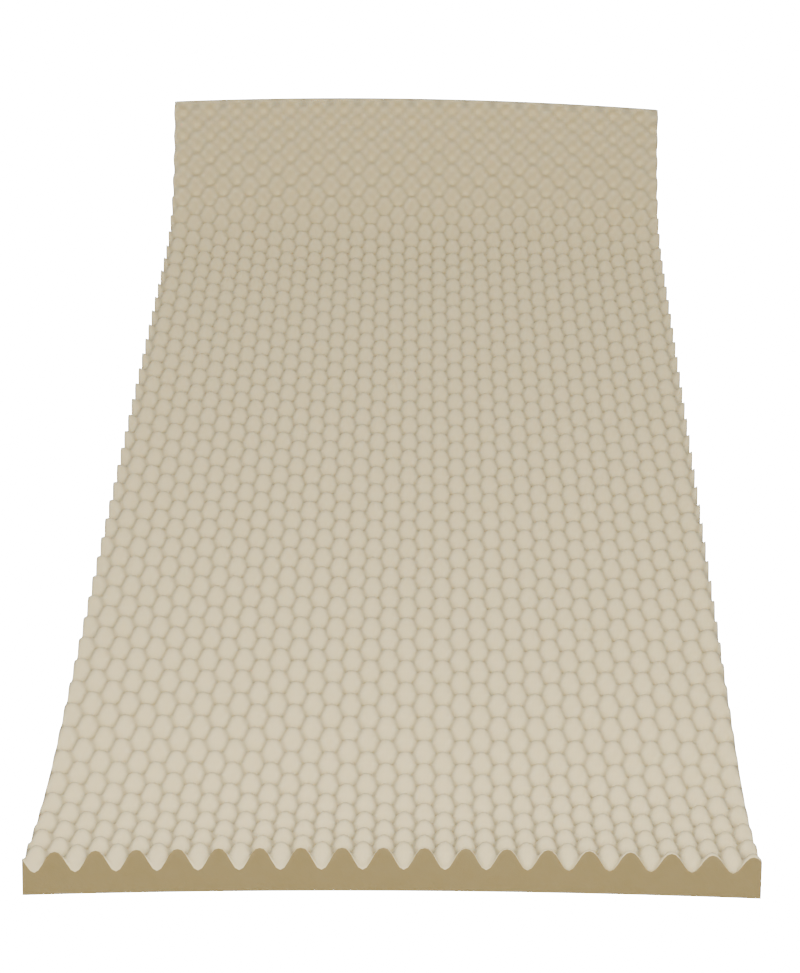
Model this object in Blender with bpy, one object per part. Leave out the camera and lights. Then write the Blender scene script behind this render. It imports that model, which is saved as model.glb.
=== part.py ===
# Convoluted foam mattress topper: one cut length of cream foam, flat below and bumpy above.
# It lies flat in its middle, and both ends still curl up from having been rolled.
# Metres, +Z up. The near end is at -Y, and the far end, which curls up more, is at +Y.

import bpy
import bmesh
import math
from mathutils import Vector

# The pad as it was cut
padWidth = 0.838
padLength = 1.829
padThickness = 0.0508
valleyThickness = 0.025
bumpsAcross = 18
bumpsAlong = 42

# How the bumps lie on the cut pad, in half pitches: the cuts follow the rows only roughly
columnDriftOverLength = 0.97
nearColumnOffset = 0.60
nearRowOffset = -0.15
rowTilt = 0.0105

# The far end is cut a little askew: metres longer for each metre towards +X
farCutSkew = 0.005

# The curl, measured along the pad from its near end
curlTable = (
    # distance from the near end, slope in degrees, positive where it rises away from the viewer
    (0.000, -26.5),
    (0.085, -17.7),
    (0.240, 0.0),
    (1.470, 0.0),
    (1.567, 18.5),
    (1.655, 42.5),
    (1.742, 54.0),
    (1.829, 66.0),
)
flatStart = 0.240
flatEnd = 1.470
neutralHeight = 0.010
curlStep = 0.0005

# The raised ends sag a little towards their two side edges, and stand higher at one corner
sideSagNear = 0.010
sideSagFar = 0.0128
twistNear = 0.0045
twistFar = -0.0045

# Where the underside is divided, so that it can follow the curl
undersideStep = 0.0218
undersideColumns = 6

snapDistance = 0.0015
undersideSnap = 0.0005
restTolerance = 0.000002
foamColour = (0.68, 0.61, 0.45, 1.0)
foamRoughness = 0.95

halfPitchX = padWidth / (2 * bumpsAcross)
halfPitchY = padLength / (2 * bumpsAlong)


def clearScene():
    for item in list(bpy.data.objects):
        bpy.data.objects.remove(item, do_unlink=True)


def foamMaterial():
    material = bpy.data.materials.new("creamFoam")
    material.use_nodes = True
    shader = material.node_tree.nodes["Principled BSDF"]
    shader.inputs["Base Color"].default_value = foamColour
    shader.inputs["Roughness"].default_value = foamRoughness
    shader.inputs["Metallic"].default_value = 0.0
    return material


def latticePlace(column, row):
    # column counts half pitches from the middle, row counts them from the near end
    rowPlace = row + nearRowOffset
    drift = columnDriftOverLength * rowPlace / (2 * bumpsAlong)
    x = (column + nearColumnOffset - drift) * halfPitchX
    y = rowPlace * halfPitchY + rowTilt * (x + padWidth / 2)
    return x, y


def convolutedSheet(mesh):
    # an oversize sheet with one point on each bump and one in each hollow between them
    margin = 3
    firstColumn = -bumpsAcross - margin
    columns = 2 * (bumpsAcross + margin)
    firstRow = -margin
    rows = 2 * bumpsAlong + 2 * margin
    bmesh.ops.create_grid(mesh, x_segments=columns, y_segments=rows, size=1.0)
    isTip = {}
    for point in mesh.verts:
        column = firstColumn + round((point.co.x + 1) / 2 * columns)
        row = firstRow + round((point.co.y + 1) / 2 * rows)
        tip = (column + row) % 2 != 0
        x, y = latticePlace(column, row)
        point.co = Vector((x, y, padThickness if tip else valleyThickness))
        isTip[point] = tip
    for cell in list(mesh.faces):
        hollows = [point for point in cell.verts if not isTip[point]]
        bmesh.utils.face_split(cell, hollows[0], hollows[1])


def trimToSize(mesh):
    # four straight cuts, the sides first
    cuts = (
        (Vector((padWidth / 2, 0, 0)), Vector((1, 0, 0))),
        (Vector((-padWidth / 2, 0, 0)), Vector((-1, 0, 0))),
        (Vector((0, padLength, 0)), Vector((-farCutSkew, 1, 0)).normalized()),
        (Vector((0, 0, 0)), Vector((0, -1, 0))),
    )
    for place, outward in cuts:
        everything = mesh.verts[:] + mesh.edges[:] + mesh.faces[:]
        bmesh.ops.bisect_plane(
            mesh, geom=everything, dist=snapDistance, plane_co=place, plane_no=outward, clear_outer=True
        )
        for point in mesh.verts:
            height = (point.co - place).dot(outward)
            if abs(height) <= snapDistance:
                point.co -= outward * height


def closeBelow(mesh):
    # straight cut sides, then the flat underside
    border = [edge for edge in mesh.edges if edge.is_boundary]
    extruded = bmesh.ops.extrude_edge_only(mesh, edges=border)["geom"]
    for item in extruded:
        if isinstance(item, bmesh.types.BMVert):
            item.co.z = 0.0
    rim = [edge for edge in mesh.edges if edge.is_boundary]
    bmesh.ops.contextual_create(mesh, geom=rim)
    bmesh.ops.recalc_face_normals(mesh, faces=mesh.faces[:])


def undersideOf(mesh, nearY, farY):
    faces = []
    for face in mesh.faces:
        middle = face.calc_center_median()
        if all(point.co.z < restTolerance for point in face.verts) and nearY < middle.y < farY:
            faces.append(face)
    edges = {edge for face in faces for edge in face.edges}
    points = {point for face in faces for point in face.verts}
    return faces + list(edges) + list(points)


def divideUnderside(mesh):
    # cross lines where the pad curls, and lines along it there for the sag
    crossLines = []
    for start, end in ((0.0, flatStart), (flatEnd, padLength)):
        count = round((end - start) / undersideStep)
        crossLines += [start + (end - start) * step / count for step in range(count + 1)]
    for y in crossLines:
        if 0 < y < padLength:
            bmesh.ops.bisect_plane(
                mesh, geom=undersideOf(mesh, 0, padLength), dist=undersideSnap,
                plane_co=Vector((0, y, 0)), plane_no=Vector((0, 1, 0))
            )
    for nearY, farY in ((0.0, flatStart), (flatEnd, padLength)):
        for column in range(1, undersideColumns):
            x = padWidth * (column / undersideColumns - 0.5)
            bmesh.ops.bisect_plane(
                mesh, geom=undersideOf(mesh, nearY, farY), dist=undersideSnap,
                plane_co=Vector((x, 0, 0)), plane_no=Vector((1, 0, 0))
            )


def slopeAt(distance):
    for (startY, startSlope), (endY, endSlope) in zip(curlTable, curlTable[1:]):
        if distance <= endY:
            share = (distance - startY) / (endY - startY)
            return math.radians(startSlope + (endSlope - startSlope) * share)
    return math.radians(curlTable[-1][1])


def curlLine():
    # the neutral line's places every half millimetre to the farthest corner, level at the flat stretch
    reach = padLength + farCutSkew * padWidth / 2
    count = round(reach / curlStep)
    y, z = 0.0, 0.0
    line = [(y, z)]
    for step in range(count):
        slope = slopeAt((step + 0.5) * curlStep)
        y += math.cos(slope) * curlStep
        z += math.sin(slope) * curlStep
        line.append((y, z))
    level = line[round(flatStart / curlStep)][1]
    return [(y, z - level) for y, z in line]


def onCurl(line, distance):
    place = min(max(distance / curlStep, 0.0), len(line) - 1.0)
    below = min(int(place), len(line) - 2)
    share = place - below
    y = line[below][0] * (1 - share) + line[below + 1][0] * share
    z = line[below][1] * (1 - share) + line[below + 1][1] * share
    return y, z


def curlUp(mesh):
    line = curlLine()
    for point in mesh.verts:
        distance, height = point.co.y, point.co.z - neutralHeight
        slope = slopeAt(distance)
        y, lift = onCurl(line, distance)
        across = point.co.x / (padWidth / 2)
        if distance < flatStart:
            sag = (sideSagNear * across ** 2 - twistNear * across) * lift / line[0][1]
        else:
            sag = (sideSagFar * across ** 2 - twistFar * across) * lift / line[-1][1]
        point.co.y = y - math.sin(slope) * height
        point.co.z = neutralHeight + lift + math.cos(slope) * height - sag
    for point in mesh.verts:
        if abs(point.co.z) < restTolerance:
            point.co.z = 0.0
    farY = max(point.co.y for point in mesh.verts)
    nearY = min(point.co.y for point in mesh.verts)
    for point in mesh.verts:
        point.co.y -= (farY + nearY) / 2


def makePad(collection):
    mesh = bmesh.new()
    convolutedSheet(mesh)
    trimToSize(mesh)
    closeBelow(mesh)
    divideUnderside(mesh)
    bmesh.ops.triangulate(mesh, faces=[face for face in mesh.faces if len(face.verts) > 4])
    curlUp(mesh)
    data = bpy.data.meshes.new("foamPad")
    mesh.to_mesh(data)
    mesh.free()
    data.materials.append(foamMaterial())
    pad = bpy.data.objects.new("foam_pad", data)
    collection.objects.link(pad)
    return pad


clearScene()
topper = bpy.data.collections.new("mattressTopper")
bpy.context.scene.collection.children.link(topper)
foamPad = makePad(topper)
print("foam_pad", len(foamPad.data.polygons), "faces", [round(side, 4) for side in foamPad.dimensions])
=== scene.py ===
import bpy
import bmesh
import math
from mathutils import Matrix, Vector


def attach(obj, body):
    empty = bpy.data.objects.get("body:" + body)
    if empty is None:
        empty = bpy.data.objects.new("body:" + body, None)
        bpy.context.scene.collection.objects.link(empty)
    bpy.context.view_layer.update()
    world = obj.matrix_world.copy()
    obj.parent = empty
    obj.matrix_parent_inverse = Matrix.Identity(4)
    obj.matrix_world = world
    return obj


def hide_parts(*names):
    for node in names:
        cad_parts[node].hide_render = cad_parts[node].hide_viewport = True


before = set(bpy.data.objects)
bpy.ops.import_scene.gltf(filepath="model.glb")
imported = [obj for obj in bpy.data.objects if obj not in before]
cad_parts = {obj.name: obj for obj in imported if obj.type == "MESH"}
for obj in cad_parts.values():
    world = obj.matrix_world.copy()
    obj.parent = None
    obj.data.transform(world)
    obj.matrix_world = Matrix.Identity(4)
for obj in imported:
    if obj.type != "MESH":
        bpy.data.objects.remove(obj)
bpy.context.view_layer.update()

mm = 0.001


def hexToLinear(code):
    # sRGB hex to the linear values that the shader wants
    channels = []
    for start in (0, 2, 4):
        value = int(code[start:start + 2], 16) / 255
        channels.append(value / 12.92 if value <= 0.04045 else ((value + 0.055) / 1.055) ** 2.4)
    return (*channels, 1.0)


def addNode(tree, kind, inputs=None, **settings):
    # one node with its settings, and for each input a value or the socket that feeds it
    node = tree.nodes.new(kind)
    for name, value in settings.items():
        setattr(node, name, value)
    for name, source in (inputs or {}).items():
        if hasattr(source, "is_output"):
            tree.links.new(source, node.inputs[name])
        else:
            node.inputs[name].default_value = source
    return node


def setInputs(shader, values):
    for name, value in values.items():
        shader.inputs[name].default_value = value


# The foam pad: one length of convoluted polyurethane foam, still curled at both ends from the roll
pad = {
    "width": 838 * mm,
    "length": 1829 * mm,
    "thickness": 50.8 * mm,
    "hollowThickness": 25 * mm,
    "bumpsAcross": 18,
    "bumpsAlong": 42,
    "domeWidth": 1.35,           # higher keeps the bumps' tops broader
    "hollowWidth": 1.1,          # higher keeps the hollows broader
    "columnDrift": 0.97,         # half pitches that the bumps drift sideways over the length
    "nearColumnOffset": 0.60,    # half pitches from the middle to the first line of bumps
    "nearRowOffset": -0.15,      # half pitches from the near cut to the first row
    "rowTilt": 0.0105,           # how far the rows lean to the near cut, metres for each metre
    "farCutSkew": 0.005,         # the far end is cut a little askew
    "curl": (
        # distance from the near end in mm, slope in degrees, positive where it rises
        (0, -26.5),
        (85, -17.7),
        (240, 0.0),
        (1470, 0.0),
        (1567, 18.5),
        (1655, 42.5),
        (1742, 54.0),
        (1829, 66.0),
    ),
    "flatStart": 240 * mm,
    "flatEnd": 1470 * mm,
    "neutralHeight": 10 * mm,    # the layer that keeps its length where the pad bends
    "sideSagNear": 10 * mm,      # how far the side edges hang below the middle of a raised end
    "sideSagFar": 12.8 * mm,
    "twistNear": 4.5 * mm,       # one corner of each raised end stands higher than the other
    "twistFar": -4.5 * mm,
    "facesPerHalfBump": 5,
    "curlStep": 0.5 * mm,
    "undersideColumns": 12,
    "undersideSnap": 0.3 * mm,
    "floorTolerance": 1e-6,
    "softFill": 0.9,
}
pad["halfPitchX"] = pad["width"] / (2 * pad["bumpsAcross"])
pad["halfPitchY"] = pad["length"] / (2 * pad["bumpsAlong"])


def slopeAt(distance):
    for (startY, startSlope), (endY, endSlope) in zip(pad["curl"], pad["curl"][1:]):
        if distance <= endY * mm:
            share = (distance - startY * mm) / ((endY - startY) * mm)
            return math.radians(startSlope + (endSlope - startSlope) * share)
    return math.radians(pad["curl"][-1][1])


def curlLine():
    # where the layer that keeps its length runs, level at the flat stretch
    step = pad["curlStep"]
    y, z, line = 0.0, 0.0, [(0.0, 0.0)]
    reach = pad["length"] + pad["farCutSkew"] * pad["width"] / 2
    for count in range(round(reach / step)):
        slope = slopeAt((count + 0.5) * step)
        y += math.cos(slope) * step
        z += math.sin(slope) * step
        line.append((y, z))
    level = line[round(pad["flatStart"] / step)][1]
    return [(y, z - level) for y, z in line]


def bumpHeight(x, distance):
    # a cosine each way, staggered: a bump where the two agree, a hollow where they differ
    rowPlace = (distance - pad["rowTilt"] * (x + pad["width"] / 2)) / pad["halfPitchY"]
    drift = pad["columnDrift"] * rowPlace / (2 * pad["bumpsAlong"])
    column = x / pad["halfPitchX"] - pad["nearColumnOffset"] + drift
    wave = -math.cos(math.pi * column) * math.cos(math.pi * (rowPlace - pad["nearRowOffset"]))
    fall = (1 - wave) / 2        # 0 at a tip, 1 in a hollow
    height = (1 - fall ** pad["domeWidth"]) ** pad["hollowWidth"]
    return pad["hollowThickness"] + height * (pad["thickness"] - pad["hollowThickness"])


def cutUnderside(mesh, place, across):
    faces = [
        face for face in mesh.faces
        if all(point.co.z < pad["floorTolerance"] for point in face.verts)
    ]
    edges = {edge for face in faces for edge in face.edges}
    points = {point for face in faces for point in face.verts}
    bmesh.ops.bisect_plane(
        mesh, geom=faces + list(edges) + list(points), dist=pad["undersideSnap"],
        plane_co=place, plane_no=across
    )


def buildPadMesh():
    # a fine sheet in the cut pad's own lengths, with straight cut sides and a flat underside
    mesh = bmesh.new()
    across = 2 * pad["bumpsAcross"] * pad["facesPerHalfBump"]
    along = 2 * pad["bumpsAlong"] * pad["facesPerHalfBump"]
    bmesh.ops.create_grid(mesh, x_segments=across, y_segments=along, size=0.5)
    for point in mesh.verts:
        x = point.co.x * pad["width"]
        distance = (point.co.y + 0.5) * (pad["length"] + pad["farCutSkew"] * x)
        point.co = Vector((x, distance, bumpHeight(x, distance)))
    for face in mesh.faces:
        face.smooth = True
    rim = [edge for edge in mesh.edges if edge.is_boundary]
    for item in bmesh.ops.extrude_edge_only(mesh, edges=rim)["geom"]:
        if isinstance(item, bmesh.types.BMVert):
            item.co.z = 0
        elif isinstance(item, bmesh.types.BMFace):
            item.smooth = False
            item.material_index = 1
    rim = [edge for edge in mesh.edges if edge.is_boundary]
    underside = bmesh.ops.contextual_create(mesh, geom=rim)["faces"]
    bmesh.ops.recalc_face_normals(mesh, faces=mesh.faces[:])
    for face in underside:
        face.material_index = 1
        face.smooth = False

    # cross lines below where the pad curls, and lines along it all the way
    faceLength = pad["length"] / along
    for count in range(pad["facesPerHalfBump"], along, pad["facesPerHalfBump"]):
        y = count * faceLength
        if y < pad["flatStart"] or y > pad["flatEnd"]:
            cutUnderside(mesh, Vector((0, y, 0)), Vector((0, 1, 0)))
    for count in range(1, pad["undersideColumns"]):
        x = pad["width"] * (count / pad["undersideColumns"] - 0.5)
        cutUnderside(mesh, Vector((x, 0, 0)), Vector((1, 0, 0)))
    return mesh


def curlUp(mesh):
    line = curlLine()
    for point in mesh.verts:
        distance, height = point.co.y, point.co.z - pad["neutralHeight"]
        place = min(max(distance / pad["curlStep"], 0), len(line) - 1.001)
        below = int(place)
        share = place - below
        y = line[below][0] * (1 - share) + line[below + 1][0] * share
        lift = line[below][1] * (1 - share) + line[below + 1][1] * share
        slope = slopeAt(distance)
        across = point.co.x / (pad["width"] / 2)
        if distance < pad["flatStart"]:
            sag = (pad["sideSagNear"] * across ** 2 - pad["twistNear"] * across) * lift / line[0][1]
        else:
            sag = (pad["sideSagFar"] * across ** 2 - pad["twistFar"] * across) * lift / line[-1][1]
        point.co.y = y - math.sin(slope) * height
        point.co.z = max(pad["neutralHeight"] + lift + math.cos(slope) * height - sag, 0)
    ends = [point.co.y for point in mesh.verts]
    middle = (min(ends) + max(ends)) / 2
    for point in mesh.verts:
        point.co.y -= middle


# Open-cell polyurethane foam, foamed in blocks and sliced with a blade. Its torn cells leave it matt
# with a fine grain, and light that enters it spreads a few millimetres, which softens its shadows.
foam = {
    "roughness": 0.95,
    "ior": 1.5,
    "specular": 0.15,            # the open cells trap most of the gloss
    "spread": 0.6,
    "spreadDistance": 8 * mm,
    "spreadByColour": (1.0, 0.8, 0.55),
    "mottleDetail": 3.0,
    "cellDetail": 2.0,
    "cellDepth": 0.3 * mm,
    "cellStrength": 0.5,
}
# The bumpy face, clean cream. Cells of about 1 mm are drawn twice as coarse, so that they show.
convolutedLook = {"colour": "D2C69E", "colourLight": "D6CAA6", "mottleSize": 40 * mm, "cellSize": 2.0 * mm}
# The blade-cut sides and underside, darker and browner than the bumpy face: the darkness is painted shade,
# for the less light that reaches the cut faces.
cutShadedLook = {"colour": "83754F", "colourLight": "887A56", "mottleSize": 25 * mm, "cellSize": 1.6 * mm}


def foamMaterial(name, look):
    material = bpy.data.materials.new(name)
    material.use_nodes = True
    tree = material.node_tree
    shader = tree.nodes["Principled BSDF"]
    place = addNode(tree, "ShaderNodeTexCoord").outputs["Object"]
    mottle = addNode(tree, "ShaderNodeTexNoise", {
        "Vector": place, "Scale": 1 / look["mottleSize"], "Detail": foam["mottleDetail"],
    })
    colour = addNode(tree, "ShaderNodeMix", {"Factor": mottle.outputs["Fac"]}, data_type="RGBA")
    colour.inputs["A"].default_value = hexToLinear(look["colour"])
    colour.inputs["B"].default_value = hexToLinear(look["colourLight"])
    tree.links.new(colour.outputs["Result"], shader.inputs["Base Color"])
    cells = addNode(tree, "ShaderNodeTexNoise", {
        "Vector": place, "Scale": 1 / look["cellSize"], "Detail": foam["cellDetail"],
    })
    grain = addNode(tree, "ShaderNodeBump", {
        "Height": cells.outputs["Fac"], "Strength": foam["cellStrength"], "Distance": foam["cellDepth"],
    })
    tree.links.new(grain.outputs["Normal"], shader.inputs["Normal"])
    setInputs(shader, {
        "Roughness": foam["roughness"],
        "IOR": foam["ior"],
        "Specular IOR Level": foam["specular"],
        "Metallic": 0.0,
        "Subsurface Weight": foam["spread"],
        "Subsurface Radius": foam["spreadByColour"],
        "Subsurface Scale": foam["spreadDistance"],
    })
    return material


def makePad():
    mesh = buildPadMesh()
    curlUp(mesh)
    data = bpy.data.meshes.new("foamTopper")
    mesh.to_mesh(data)
    mesh.free()
    data.materials.append(foamMaterial("convolutedFoam", convolutedLook))
    # the cut faces take the second foam, darkened with painted shade
    data.materials.append(foamMaterial("cutFoamPaintedShade", cutShadedLook))
    piece = bpy.data.objects.new("foamTopper", data)
    bpy.context.scene.collection.objects.link(piece)
    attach(piece, "root")
    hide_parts("foam_pad")
    return piece


foamTopper = makePad()
print("foam pad made:", len(foamTopper.data.vertices), "points")

# Floor and light
stage = {
    "floorSize": 30.0,
    "floorGlow": 22.0,                   # strong enough to come out plain white
    "keyPlace": (0.0, -2.5, 2.0),        # a wide low softbox in front
    "keyWidth": 3.0,
    "keyHeight": 1.2,
    "keyPower": 180.0,
    "fillPlaces": ((-2.6, 2.0, 1.0), (2.6, 2.0, 1.0)),    # two behind, for the cut faces
    "fillWidth": 2.0,
    "fillHeight": 1.2,
    "fillPower": 36.0,
    "lampColour": "FFFAF0",
    "frontWay": (0.0, -0.8, 0.6),        # the room is brightest this way
    "dimmestAt": -0.3,                   # cosines to that way
    "brightestAt": 0.9,
    "frontGlow": 0.20,
    "backGlow": 0.12,
}


def opalAcrylic():
    # opal acrylic sheet, cast and lit from below: it glows evenly white, without grain or gloss
    material = bpy.data.materials.new("opalAcrylic")
    material.use_nodes = True
    setInputs(material.node_tree.nodes["Principled BSDF"], {
        "Base Color": hexToLinear("FFFFFF"),
        "Roughness": 0.9,
        "Emission Color": hexToLinear("FFFFFF"),
        "Emission Strength": stage["floorGlow"],
    })
    material.cycles.emission_sampling = "NONE"
    return material


def makeFloor():
    mesh = bmesh.new()
    bmesh.ops.create_grid(mesh, x_segments=4, y_segments=4, size=stage["floorSize"] / 2)
    data = bpy.data.meshes.new("lightTable")
    mesh.to_mesh(data)
    mesh.free()
    data.materials.append(opalAcrylic())
    floor = bpy.data.objects.new("lightTable", data)
    bpy.context.scene.collection.objects.link(floor)
    floor.visible_diffuse = False        # its glow stays off the foam
    floor.visible_glossy = False


def makeRoom():
    # a dim room whose brighter side is in front and above
    world = bpy.data.worlds.new("studioRoom")
    world.use_nodes = True
    tree = world.node_tree
    direction = addNode(tree, "ShaderNodeTexCoord").outputs["Generated"]
    toFront = addNode(
        tree, "ShaderNodeVectorMath", {0: direction, 1: stage["frontWay"]}, operation="DOT_PRODUCT"
    )
    glow = addNode(tree, "ShaderNodeMapRange", {
        "Value": toFront.outputs["Value"],
        "From Min": stage["dimmestAt"], "From Max": stage["brightestAt"],
        "To Min": stage["backGlow"], "To Max": stage["frontGlow"],
    })
    background = tree.nodes["Background"]
    background.inputs["Color"].default_value = hexToLinear("FFFFFF")
    tree.links.new(glow.outputs["Result"], background.inputs["Strength"])
    bpy.context.scene.world = world


def addSoftbox(name, place, width, height, power):
    # aimed at the middle of the pad
    light = bpy.data.lights.new(name, "AREA")
    light.shape = "RECTANGLE"
    light.size = width
    light.size_y = height
    light.energy = power
    light.color = hexToLinear(stage["lampColour"])[:3]
    lamp = bpy.data.objects.new(name, light)
    lamp.location = place
    lamp.rotation_euler = (-Vector(place)).to_track_quat("-Z", "Y").to_euler()
    bpy.context.scene.collection.objects.link(lamp)


def makeLights():
    addSoftbox("keySoftbox", stage["keyPlace"], stage["keyWidth"], stage["keyHeight"], stage["keyPower"])
    for place in stage["fillPlaces"]:
        addSoftbox("fillSoftbox", place, stage["fillWidth"], stage["fillHeight"], stage["fillPower"])


# Camera
view = {
    "place": (0.0504, -2.6129, 1.8592),
    "tilt": (54.519, -0.577, 0.421),     # degrees
    "lens": 80.50,                       # mm, on a sensor 36 mm wide
    "sensor": 36.0,
    "shiftX": -0.0416,
}


def makeCamera():
    data = bpy.data.cameras.new("photoCamera")
    data.lens = view["lens"]
    data.sensor_width = view["sensor"]
    data.shift_x = view["shiftX"]
    camera = bpy.data.objects.new("photoCamera", data)
    camera.location = view["place"]
    camera.rotation_euler = [math.radians(angle) for angle in view["tilt"]]
    bpy.context.scene.collection.objects.link(camera)
    bpy.context.scene.camera = camera


makeFloor()
makeRoom()
makeLights()
makeCamera()
print("stage, light and camera set")
